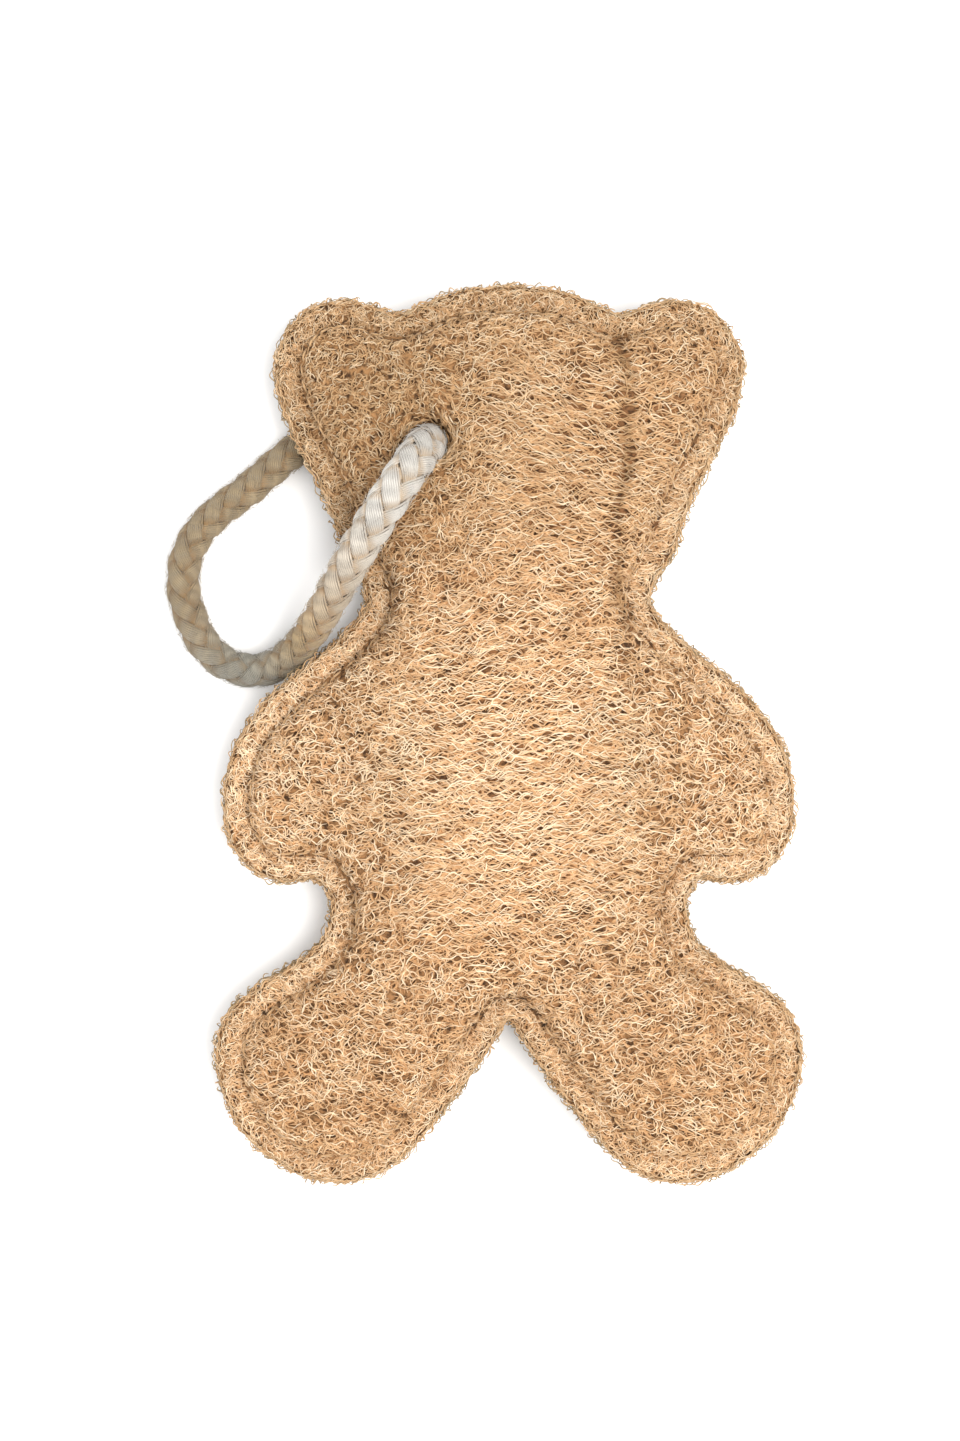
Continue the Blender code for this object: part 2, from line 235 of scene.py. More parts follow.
def mixed_colour(tree, factor, first, second, blend="MIX"):
    made = add_node(tree, "ShaderNodeMix", {"data_type": "RGBA", "blend_type": blend})
    feed(tree, made.inputs[0], factor)
    for socket, colour in ((made.inputs[6], first), (made.inputs[7], second)):
        feed(tree, socket, (*colour, 1) if isinstance(colour, tuple) else colour)
    return made.outputs[2]


def noise(tree, scale, detail=2.0, place=None):
    """Noise in object space: scale is in cycles a metre."""
    at = place or add_node(tree, "ShaderNodeTexCoord").outputs["Object"]
    return add_node(tree, "ShaderNodeTexNoise", Vector=at, Scale=scale, Detail=detail).outputs["Fac"]


def span(tree, value, low, high, to_low, to_high):
    """The value moved from one range to another, and held inside it."""
    made = add_node(tree, "ShaderNodeMapRange", Value=value)
    for key, number in (("From Min", low), ("From Max", high), ("To Min", to_low), ("To Max", to_high)):
        made.inputs[key].default_value = number
    return made.outputs["Result"]


def attribute(tree, name):
    return add_node(tree, "ShaderNodeAttribute", {"attribute_name": name}).outputs["Fac"]


def bumped(tree, shader, height, distance, strength=0.5):
    bump = add_node(tree, "ShaderNodeBump", Height=height, Distance=distance, Strength=strength)
    tree.links.new(bump.outputs["Normal"], shader.inputs["Normal"])


def new_material(name, roughness, specular):
    made = bpy.data.materials.new(name)
    made.use_nodes = True
    shader = made.node_tree.nodes["Principled BSDF"]
    shader.inputs["Roughness"].default_value = roughness
    shader.inputs["Specular IOR Level"].default_value = specular
    return made, made.node_tree, shader


def dress(tree, shader, colour, rough):
    """Links the shader's colour and roughness."""
    feed(tree, shader.inputs["Base Color"], colour)
    feed(tree, shader.inputs["Roughness"], rough)


def fibre_material(name, dark, middle, light, gap):
    """Luffa fibre: its tint changes from one fibre to the next; painted shade browns the low ones and
    greys those lying in shade.
    """
    made, tree, shader = new_material(name, 0.62, 0.35)
    own = colour_ramp(tree, attribute(tree, "tint"), [(0.0, dark), (0.45, middle), (1.0, light)])
    # Painted shade: low fibres, and those in the seam groove and the crease, brown towards the gap colour.
    own = mixed_colour(tree, attribute(tree, "deep"), own, gap)
    # Painted shade: the fibres grey towards this colour on the head, its left most, the body's sides, the
    # cut edges and the crease.
    own = mixed_colour(tree, attribute(tree, "age"), own, (0.34, 0.235, 0.12))
    streaks = span(tree, noise(tree, 900, 3), 0.3, 0.7, 0.80, 1.10)
    own = mixed_colour(tree, 1.0, own, streaks, "MULTIPLY")
    dress(tree, shader, own, span(tree, noise(tree, 400), 0.3, 0.7, 0.5, 0.75))
    return made


def pith_material(name, orange, brown, dark):
    """The matted inner fibre that shows between the outer ones, darker than the fibres as painted shade of
    the depth under them: near-black painted shade in its open pores and at stitch holes, browner under the
    level net.
    """
    made, tree, shader = new_material(name, 0.85, 0.2)
    place = add_node(tree, "ShaderNodeTexCoord").outputs["Object"]
    pores = noise(tree, 650, 3, place)
    lighter = mixed_colour(tree, attribute(tree, "netted"), orange, brown)
    own = mixed_colour(tree, span(tree, pores, 0.36, 0.6, 0.0, 1.0), dark, lighter)
    own = mixed_colour(tree, attribute(tree, "stitch_hole_shade"), own, (0.03, 0.02, 0.012))
    dress(tree, shader, own, span(tree, pores, 0.3, 0.7, 0.95, 0.75))
    bumped(tree, shader, noise(tree, 900, 4, place), 0.5 * MM, 0.8)
    return made


def cotton_material(name, light, shade, grey=(0.45, 0.44, 0.39), tan=(0.60, 0.42, 0.20)):
    """Spun cotton: fine turns along each yarn, painted browner shade down in the crossings, and painted
    shade with some wear along the loop.
    """
    made, tree, shader = new_material(name, 0.8, 0.25)
    shader.inputs["Sheen Weight"].default_value = 0.25
    turns = add_node(tree, "ShaderNodeMath", {"operation": "SINE"})
    feed(tree, turns.inputs[0], attribute(tree, "spin"))
    own = mixed_colour(tree, attribute(tree, "sunk_shade"), light, shade)
    # Painted shade, with some wear, darkens the rope along its loop: grey at the loop's bottom, tan
    # elsewhere.
    shade_and_wear = mixed_colour(tree, attribute(tree, "tan_not_shade_grey"), grey, tan)
    own = mixed_colour(tree, attribute(tree, "shade_and_wear"), own, mixed_colour(tree, 1.0, own, shade_and_wear, "MULTIPLY"))
    soil = span(tree, noise(tree, 130, 4), 0.35, 0.7, 1.0, 0.82)
    own = mixed_colour(tree, 1.0, own, soil, "MULTIPLY")
    lines = span(tree, turns.outputs[0], -1, 1, 0.86, 1.0)
    own = mixed_colour(tree, 1.0, own, lines, "MULTIPLY")
    dress(tree, shader, own, span(tree, noise(tree, 700), 0.3, 0.7, 0.7, 0.95))
    bumped(tree, shader, turns.outputs[0], 0.12 * MM, 0.6)
    return made


# ---- lines, rings and tubes


def mixed(first, second, start, end, at):
    """Goes in a straight line from the first to the second as at goes from start to end."""
    return (end - at) / (end - start) * first + (at - start) / (end - start) * second


def smooth_curve(points, closed=False, samples=24):
    """Centripetal Catmull-Rom curve through the points, finely sampled."""
    points = np.asarray(points, float)
    if closed:
        ends = np.vstack([points[-1], points, points[:2]])
    else:
        ends = np.vstack([2 * points[0] - points[1], points, 2 * points[-1] - points[-2]])
    curve = []
    for p0, p1, p2, p3 in zip(ends, ends[1:], ends[2:], ends[3:]):
        k1 = norm(p1 - p0) ** 0.5
        k2 = k1 + norm(p2 - p1) ** 0.5
        k3 = k2 + norm(p3 - p2) ** 0.5
        t = np.linspace(k1, k2, samples, endpoint=False)[:, None]
        a1, a2, a3 = mixed(p0, p1, 0, k1, t), mixed(p1, p2, k1, k2, t), mixed(p2, p3, k2, k3, t)
        b1, b2 = mixed(a1, a2, 0, k2, t), mixed(a2, a3, k1, k3, t)
        curve.append(mixed(b1, b2, k1, k2, t))
    if not closed:
        curve.append(points[-1:])
    return np.vstack(curve)


def distances(curve):
    """How far along the curve each of its points lies."""
    return np.r_[0, np.cumsum(norm(np.diff(curve, axis=0), axis=1))]


def read_along(spots, along, values):
    """The rows of values at spots along a line, where along says how far each row lies."""
    return np.stack([np.interp(spots, along, column) for column in values.T], axis=-1)


def direction(turn):
    """Plan directions at angles from +X."""
    return np.stack([np.cos(turn), np.sin(turn)], axis=-1)


def even_points(curve, step, closed=False):
    """Points at an even spacing near step along the curve."""
    if closed:
        curve = np.vstack([curve, curve[:1]])
    along = distances(curve)
    count = max(3, round(along[-1] / step))
    at = np.linspace(0, along[-1], count + 1)
    if closed:
        at = at[:-1]
    return read_along(at, along, curve)


def unit(vectors):
    return vectors / np.maximum(norm(vectors, axis=-1, keepdims=True), 1e-12)


def tube_mesh(lines, radius, sides, up, values=None):
    """One mesh of many tubes. lines is (tubes, points, 3); radius and up broadcast to it.

    values are {attribute: numbers}, which broadcast to (tubes, points) or (tubes, points, sides).
    """
    count, length = lines.shape[:2]
    along = unit(np.gradient(lines, axis=1))
    side = unit(np.cross(along, up))
    top = np.cross(side, along)
    turn = np.pi / 2 + TURN * np.arange(sides) / sides
    ring = np.cos(turn)[:, None] * side[:, :, None] + np.sin(turn)[:, None] * top[:, :, None]
    width = np.broadcast_to(radius, (count, length))[:, :, None, None]
    verts = (lines[:, :, None] + width * ring).reshape(-1, 3)
    first = np.arange(count)[:, None, None] * length * sides
    here = first + np.arange(length - 1)[None, :, None] * sides
    beyond = here + sides
    this, other = np.arange(sides), (np.arange(sides) + 1) % sides
    quads = np.stack([here + this, here + other, beyond + other, beyond + this], axis=-1).reshape(-1, 4)
    start = first[:, :, 0]
    caps = np.vstack([start + this[::-1], start + (length - 1) * sides + this])
    mesh = mesh_of(verts, [quads, caps])
    for key, numbers in (values or {}).items():
        numbers = np.asarray(numbers, float)
        if numbers.ndim < 3:
            numbers = numbers[..., None]
        add_values(mesh, key, np.broadcast_to(numbers, (count, length, sides)))
    return mesh


def mesh_of(verts, groups):
    """A smooth mesh from vertices and arrays of faces, each array with its own number of corners."""
    mesh = bpy.data.meshes.new("mesh")
    mesh.vertices.add(len(verts))
    mesh.vertices.foreach_set("co", np.asarray(verts, np.float32).ravel())
    corners = np.concatenate([g.ravel() for g in groups])
    sizes = np.concatenate([np.full(len(g), g.shape[1]) for g in groups])
    mesh.loops.add(len(corners))
    mesh.loops.foreach_set("vertex_index", corners.astype(np.int32))
    mesh.polygons.add(len(sizes))
    starts = np.concatenate([[0], np.cumsum(sizes)[:-1]])
    mesh.polygons.foreach_set("loop_start", starts.astype(np.int32))
    mesh.update()
    mesh.validate()
    mesh.shade_smooth()
    return mesh


def add_values(mesh, key, numbers):
    made = mesh.attributes.new(key, "FLOAT", "POINT")
    made.data.foreach_set("value", np.asarray(numbers, np.float32).ravel())


# ---- camera and rope


def place_camera():
    data = bpy.data.cameras.new("camera")
    data.lens = CAMERA_LENS
    camera = linked("camera", data)
    camera.location = CAMERA_PLACE
    bpy.context.scene.camera = camera


def hole_bend(heading, sign):
    """The rope's quarter turn from upright in the hole to level, as points from the join outwards."""
    turn = np.radians([0.8, 12, 24, 36, 48, 60, 72, 84])
    out = ROPE_BEND * (1 - np.cos(turn))
    height = BEND_CENTRE_HEIGHT + sign * ROPE_BEND * np.sin(turn)
    return np.column_stack([HOLE + out[:, None] * direction(heading), height])


def rope_route():
    route = np.vstack([
        hole_bend(FRONT_HEADING, 1), np.array(LOOP_ROUTE_MM) * MM, hole_bend(BACK_HEADING, -1)[::-1]
    ])
    return even_points(smooth_curve(route), ROPE_STEP)


def carried_frames(line):
    """The line's directions, with a side and an upward one that don't twist along it."""
    along = unit(np.gradient(line, axis=0))
    side = np.zeros_like(line)
    side[0] = unit(np.cross(along[0], (0.3, 1.0, 0.1)))
    for i in range(1, len(line)):
        carried = side[i - 1] - along[i] * (side[i - 1] @ along[i])
        side[i] = unit(carried)
    return along, side, np.cross(along, side)


def swelling(at):
    """How many times its usual thickness the rope has, at places along it."""
    return 1 + FRONT_SWELL * np.interp(at, FRONT_STRAND_SPAN, (1, 0))


def braid_yarns(route):
    """Every yarn's line round the rope, how far down it runs there for its painted shade, and the upward
    directions.
    """
    line = even_points(smooth_curve(route), BRAID_STEP)
    _, side, top = carried_frames(line)
    length = norm(np.diff(line, axis=0), axis=1).sum()
    at = np.linspace(0, length, len(line))
    slope = np.arctan(TURN * BRAID_RADIUS / BRAID_PITCH)
    on_front = np.searchsorted(at, FRONT_STRAND_SPAN[0])
    facing = np.arctan2(top[on_front, 2], side[on_front, 2]) + FACING_LEAN
    ridge = np.pi * 5 / 8  # where the strands that turn backwards rise highest
    swell = swelling(at)
    lines, depths, outs = [], [], []
    for way in (1, -1):
        for strand in range(STRANDS_EACH_WAY):
            turned = TURN * (way * at / BRAID_PITCH + strand / STRANDS_EACH_WAY)
            rise = way * np.cos(2 * turned - np.pi / 4)
            plump = 0.88 + 0.12 * rise
            centre = turned + facing - ridge
            for yarn in range(YARNS):
                across = (yarn - (YARNS - 1) / 2) * YARN_SPACING * plump
                share = across / (YARN_SPACING * (YARNS - 1) / 2)
                radius = BRAID_RADIUS + BRAID_RISE * rise - STRAND_ROUNDING * share**4
                angle = centre + across * np.cos(slope) / BRAID_RADIUS
                shifted = np.clip(at - way * across * np.sin(slope), 0, length)
                out = np.cos(angle)[:, None] * side + np.sin(angle)[:, None] * top
                lines.append(read_along(shifted, at, line) + (swell * radius)[:, None] * out)
                outs.append(out)
                depths.append(np.clip(0.9 - 1.5 * rise, 0, 0.85) + 0.25 * share**6)
    return np.array(lines), np.clip(depths, 0, 1), np.array(outs), at


def fuzz_lines(route):
    """Short loose hairs on the rope: their lines, their upward directions and places along it."""
    rng = np.random.default_rng(5)
    line = even_points(smooth_curve(route), BRAID_STEP)
    along, side, top = carried_frames(line)
    at = rng.integers(2, len(line) - 2, FUZZ_COUNT)
    turn = rng.uniform(0, TURN, (FUZZ_COUNT, 1))
    out = np.cos(turn) * side[at] + np.sin(turn) * top[at]
    round_it = np.cross(along[at], out)
    heading = rng.uniform(0, TURN, (FUZZ_COUNT, 1))
    run = np.cos(heading) * along[at] + np.sin(heading) * round_it
    share = np.linspace(-1, 1, FUZZ_POINTS)[None, :, None]
    length = rng.uniform(0.7, 1.9, (FUZZ_COUNT, 1, 1)) * MM
    lift = rng.uniform(0.0, 0.55, (FUZZ_COUNT, 1, 1)) * MM
    bend = rng.uniform(-0.4, 0.4, (FUZZ_COUNT, 1, 1)) * length * share**2
    thickness = swelling(at * BRAID_STEP)[:, None, None]
    height = thickness * (BRAID_RADIUS + BRAID_RISE + 0.2 * MM) + lift * share
    lines = line[at][:, None] + height * out[:, None] + length * share * run[:, None]
    lines = lines + bend * np.cross(run, out)[:, None]
    lines[..., 2] = np.maximum(lines[..., 2], 0.1 * MM)
    return lines, np.broadcast_to(out[:, None], lines.shape), at * BRAID_STEP


def add_shade_and_wear(mesh, at, shape):
    """How much painted shade and wear darken each vertex, and how tan rather than shade grey it is, from
    its place along the rope.
    """
    add_values(mesh, "shade_and_wear", np.broadcast_to(np.interp(at, FRONT_STRAND_SPAN, (0, 1)), shape))
    add_values(mesh, "tan_not_shade_grey", np.broadcast_to(np.interp(at, TAN_LENGTH, TAN_SHARE), shape))


def make_rope():
    route = rope_route()
    lines, depths, outs, at = braid_yarns(route)
    # The rope's second colour is painted shade, for where the yarns run down into the crossings.
    cotton = cotton_material("rope_cotton", (0.63, 0.60, 0.55), (0.51, 0.38, 0.25))
    turn = np.arange(YARN_SIDES) * TURN / YARN_SIDES
    spin = np.broadcast_to((at / YARN_TWIST)[None, :, None] + turn, (*depths.shape, YARN_SIDES))
    mesh = tube_mesh(lines, YARN_RADIUS, YARN_SIDES, outs, {"sunk_shade": depths, "spin": spin * 2})
    add_shade_and_wear(mesh, at[None, :, None], spin.shape)
    braid = add_piece("rope_braid", mesh, cotton, "rope", "rope_loop")
    line = even_points(smooth_curve(route), CORE_STEP)
    # The core takes the full painted shade colour.
    values = {"sunk_shade": 1, "spin": 0}
    mesh = tube_mesh(line[None], CORE_RADIUS, CORE_SIDES, carried_frames(line)[2][None], values)
    core = add_piece("rope_core", mesh, cotton, "rope")
    hairs, hair_outs, hair_at = fuzz_lines(route)
    mesh = tube_mesh(hairs, FUZZ_RADIUS, FIBRE_SIDES, hair_outs)
    add_shade_and_wear(mesh, hair_at[:, None, None], (*hairs.shape[:2], FIBRE_SIDES))
    fuzz = add_piece("rope_fuzz", mesh, cotton, "rope")
    whipping = make_whipping()
    length = norm(np.diff(route, axis=0), axis=1).sum()


def make_whipping():
    """Thread wound round the rope's butted ends, inside the head."""
    turns = WHIPPING_LENGTH / (2 * WHIPPING_THREAD) - 1
    at = np.linspace(0, 1, int(turns * WHIPPING_POINTS))
    angle = TURN * turns * at
    height = BEND_CENTRE_HEIGHT + (at - 0.5) * (WHIPPING_LENGTH - 2 * WHIPPING_THREAD)
    out = np.column_stack([direction(angle), np.zeros_like(angle)])
    line = np.column_stack([np.broadcast_to(HOLE, (len(at), 2)), height]) + WHIPPING_RADIUS * out
    cotton = cotton_material("whipping_thread", (0.80, 0.72, 0.58), (0.5, 0.38, 0.25))
    values = {"sunk_shade": 0, "spin": (angle * 40)[None]}
    mesh = tube_mesh(line[None], WHIPPING_THREAD * 0.95, THREAD_SIDES, out[None], values)
    return add_piece("rope_whipping", mesh, cotton, "rope", "join_whipping")


# ---- the shape of the stuffed bear


def bear_outline(step):
    """The outline, clockwise seen from the front, centred on the origin at its full length."""
    left = [(-x, y) for x, y in HALF_OUTLINE_MM[:0:-1]]
    curve = smooth_curve(np.array(HALF_OUTLINE_MM + [CROTCH_MM] + left) * MM, True)
    ring = even_points(curve, step, True)
    low, high = ring.min(axis=0), ring.max(axis=0)
    return (ring - (low + high) / 2) * (LENGTH / (high[1] - low[1]))


def ring_normals(ring):
    """The ring's directions to its right, which is inwards as it runs clockwise."""
    along = unit(np.roll(ring, -1, axis=0) - np.roll(ring, 1, axis=0))
    return np.column_stack([along[:, 1], -along[:, 0]])


def depth_inside(points, ring):
    """How far inside the ring each point is, below 0 outside it."""
    start = ring[None]
    run = (np.roll(ring, -1, axis=0) - ring)[None]
    found = []
    for part in np.array_split(points, max(1, len(points) // 4000)):
        offset = part[:, None] - start
        share = np.clip((offset * run).sum(2) / (run * run).sum(2), 0, 1)
        distance = norm(offset - share[..., None] * run, axis=2).min(axis=1)
        found.append(np.where(inside_ring(part, ring), distance, -distance))
    return np.concatenate(found)


def inside_ring(points, ring):
    x, y = points[:, 0, None], points[:, 1, None]
    ax, ay = ring.T[:, None]
    bx, by = np.roll(ring, -1, axis=0).T[:, None]
    crosses = (ay > y) != (by > y)
    rise = np.where(by == ay, 1, by - ay)
    return (crosses & (x < (bx - ax) * (y - ay) / rise + ax)).sum(axis=1) % 2 == 1


def smooth_min(a, b, softness):
    low = np.minimum(a, b)
    return low - softness * np.log(np.exp((low - a) / softness) + np.exp((low - b) / softness))


def waves(rng, x, y, shortest, longest, count=14):
    """Slow random ups and downs over the plan, near -1 to 1."""
    total = np.zeros_like(x)
    for _ in range(count):
        size = rng.uniform(shortest, longest)
        heading, phase = rng.uniform(0, TURN, 2)
        total += np.sin(TURN * (x * np.cos(heading) + y * np.sin(heading)) / size + phase)
    return total / np.sqrt(count)


def grid_places(low, cell, first, last):
    """The x and y of a grid's points, from the first to just before the last each way."""
    return np.meshgrid(*(low[i] + np.arange(first[i], last[i]) * cell for i in (0, 1)), indexing="ij")


def between(grid, low, cell, points):
    """The values of an (x, y, values) grid at plan points that lie between its own."""
    at = (points - low) / cell
    first = np.clip(np.floor(at).astype(int), 0, np.array(grid.shape[:2]) - 2)
    fx, fy = np.moveaxis(np.clip(at - first, 0, 1), -1, 0)[..., None]
    i, j = np.moveaxis(first, -1, 0)
    near = grid[i, j] * (1 - fx) + grid[i + 1, j] * fx
    far = grid[i, j + 1] * (1 - fx) + grid[i + 1, j + 1] * fx
    return near * (1 - fy) + far * fy


class Body:
    """The stuffed bear as even grids over its plan, read between their points."""

    def __init__(self, rng):
        self.outline = bear_outline(OUTLINE_STEP)
        self.box = self.outline.min(axis=0), self.outline.max(axis=0)
        self.low = self.box[0] - FIELD_MARGIN
        self.extent = self.box[1] + FIELD_MARGIN - self.low
        size = np.ceil(self.extent / FIELD_CELL).astype(int) + 1
        x, y = grid_places(self.low, FIELD_CELL, (0, 0), size)
        depth = depth_inside(np.column_stack([x.ravel(), y.ravel()]), self.outline).reshape(size)
        puff = self.puffed(depth)
        front, back = self.faces(x, y, depth, puff, rng)
        slopes = [slope for grid in (front, back, depth) for slope in np.gradient(grid, FIELD_CELL)]
        self.grids = np.stack([depth, front, back, *slopes], axis=-1)

    def puffed(self, depth):
        """The square root of a membrane held at the seam, levelled off at the limit."""
        free = depth > SEAM_INSET
        sheet = np.zeros_like(depth)
        for _ in range(MEMBRANE_ROUNDS):
            around = sheet[:-2, 1:-1] + sheet[2:, 1:-1] + sheet[1:-1, :-2] + sheet[1:-1, 2:]
            sheet[1:-1, 1:-1] = (around + FIELD_CELL**2) / 4
            sheet *= free
        share = PUFF_GAIN * np.sqrt(sheet) / PUFF_LIMIT
        return PUFF_LIMIT * np.tanh(share**1.5) ** (1 / 1.5)

    def faces(self, x, y, depth, puff, rng):
        """The heights of the front and back outer faces."""
        from_hole = np.hypot(x - HOLE[0], y - HOLE[1])
        inner = ROPE_BEND - ROPE_DIAMETER / 2
        reach = np.clip(ROPE_BEND - from_hole, 0, inner)
        funnel = np.sqrt(inner**2 - reach**2) - ROPE_GAP
        outside = np.clip(from_hole - ROPE_BEND, 0, None)
        off_seam = HALF_GAP + PANEL_THICKNESS
        soft = 0.5 * MM
        front = smooth_min(SEAM_HEIGHT + off_seam + puff, under_rope(x, y), soft)
        fade = np.clip((y - NECK_FADE[0]) / (NECK_FADE[1] - NECK_FADE[0]), 0, 1)
        held_up = HEAD_CLEAR_HEIGHT * fade * fade * (3 - 2 * fade)
        in_funnel = BEND_CENTRE_HEIGHT - funnel - 2 * outside
        back = -smooth_min(-(SEAM_HEIGHT - off_seam - puff), -held_up, soft)
        back = -smooth_min(-back, -in_funnel, soft)
        stuffed = np.clip((depth - SEAM_INSET) / (8 * MM), 0, 1)
        groove = GROOVE_DEPTH * np.exp(-(((depth - SEAM_INSET + 0.3 * MM) / GROOVE_WIDTH) ** 2))
        lumps = LUMP_HEIGHT * waves(rng, x, y, 14 * MM, 40 * MM) * stuffed
        edge = rounded_edge(depth, EDGE_RADIUS)
        front = front - groove - edge - crease(x, y) + lumps
        back = back + groove + edge + 0.5 * lumps
        return front, np.maximum(back, 0.0)

    def read(self, points, which):
        """The grids' values at the plan points. which is a list of grid numbers."""
        return np.moveaxis(between(self.grids[..., which], self.low, FIELD_CELL, points), -1, 0)

    def depth(self, points):
        return self.read(points, DEPTH_GRID)[0]

    def inward(self, points):
        return np.moveaxis(self.read(points, INWARD_GRIDS), 0, -1)

    def surface(self, points, front, off):
        """Points on the front or back face, moved outwards by off, and the outward directions."""
        height, dx, dy = self.read(points, FRONT_GRIDS if front else BACK_GRIDS)
        sign = 1 if front else -1
        dx, dy = (np.clip(slope, -STEEPEST, STEEPEST) for slope in (dx, dy))
        normal = unit(np.stack([-sign * dx, -sign * dy, np.ones_like(dx)], axis=-1))
        normal[..., 2] *= sign
        spot = np.concatenate([points, height[..., None]], axis=-1)
        return spot + off[..., None] * normal, normal


def under_rope(x, y):
    """How high the front may be: under the rope wherever it swings to, and close round it elsewhere."""
    from_hole = np.hypot(x - HOLE[0], y - HOLE[1])
    middle = FRONT_HEADING - SWING / 2
    turned = np.arctan2(y - HOLE[1], x - HOLE[0]) - middle
    turned = np.abs((turned + np.pi) % TURN - np.pi)
    gap = np.clip(turned - SWING / 2, 0, np.pi / 2)
    ahead, beside = from_hole * np.cos(gap), from_hole * np.sin(gap)
    half = ROPE_DIAMETER / 2
    inner = ROPE_BEND - np.sqrt(np.clip(half**2 - beside**2, 0, None))
    reach = np.clip(ROPE_BEND - ahead, 0, inner)
    below = BEND_CENTRE_HEIGHT + np.sqrt(inner**2 - reach**2) - ROPE_GAP
    below = below + 0.3 * np.clip(ahead - ROPE_BEND, 0, None)
    free = HOLE_RIM_HEIGHT + HOLE_DIP * (1 - np.exp((HOLE_EDGE - from_hole) / HOLE_DIP_WIDTH))
    share = np.clip((beside - 4.7 * MM) / (0.9 * MM), 0, 1)
    return below + (np.maximum(free, below) - below) * share


def rounded_edge(depth, radius):
    """How far a panel's outer face turns down towards its cut edge."""
    short = np.clip(radius - depth, 0, radius)
    return radius - np.sqrt(radius**2 - short**2)


def crease_line(y):
    return 32 * MM + 1.3 * MM * np.sin(y / (11 * MM)) + 0.7 * MM * np.sin(y / (3.7 * MM))


def crease(x, y):
    """The fold down the right of the head and chest."""
    share = np.clip((y - 8 * MM) / (20 * MM), 0, 1) * np.clip((118 * MM - y) / (8 * MM), 0, 1)
    share = share * (0.7 + 0.3 * np.sin(y / (5.3 * MM)))
    return CREASE_DEPTH * share * np.exp(-(((x - crease_line(y)) / (1.8 * MM)) ** 2))


# ---- fibres


def hump(x, y, middle, reach, power=2):
    """1 at the middle, fading smoothly at about the reach each way. All in millimetres."""
    return np.exp(-(((x - middle[0]) / reach[0]) ** power) - (((y - middle[1]) / reach[1]) ** power))


def past(value, limit, width):
    """Rises smoothly from 0 to 1 where the value passes the limit."""
    return 1 / (1 + np.exp((limit - value) / width))


def level_share(points):
    """How level the fibres lie: 1 in the chest and the right of the head, less in the limbs."""
    x, y = np.moveaxis(points / MM, -1, 0)
    chest = hump(x, y, (2, -12), (42, 62), 4)
    head = hump(x, y, (22, 72), (34, 42), 4)
    legs = 0.42 * past(-y, 58, 6)
    arms = 0.35 * past(np.abs(x), 46, 5) * past(-y, -30, 5)
    return np.clip(np.maximum.reduce([chest, head, legs, arms]), 0, 1)


def painted_shade_share(points):
    """Where painted shade greys the luffa: the head, its left most, and a little down the body's sides."""
    x, y = np.moveaxis(points / MM, -1, 0)
    left = 0.26 * hump(x, y, (-38, 88), (28, 34))
    sides = 0.16 * hump(np.abs(x), y, (34, -12), (13, 40))
    return left + 0.20 * past(y, 48, 9) + sides + 0.06 * past(-y, 60, 9)


def painted_light_share(points):
    """Where painted light makes the luffa palest: the chest and the arms."""
    x, y = np.moveaxis(points / MM, -1, 0)
    return hump(x, y, (0, -12), (120, 50))


def sown(rng, body, spacing, jitter=0.5):
    """Evenly scattered points inside the outline, in a random order."""
    low, high = body.box
    rows = np.arange(low[1] - spacing, high[1] + spacing, spacing * 3**0.5 / 2)
    columns = np.arange(low[0] - spacing, high[0] + spacing, spacing)
    x, y = np.meshgrid(columns, rows)
    x[1::2] += spacing / 2
    spots = np.column_stack([x.ravel(), y.ravel()])
    spots += rng.uniform(-spacing, spacing, 2) + jitter * spacing * rng.standard_normal(spots.shape)
    spots = spots[body.depth(spots) > 0]
    return spots[rng.permutation(len(spots))]


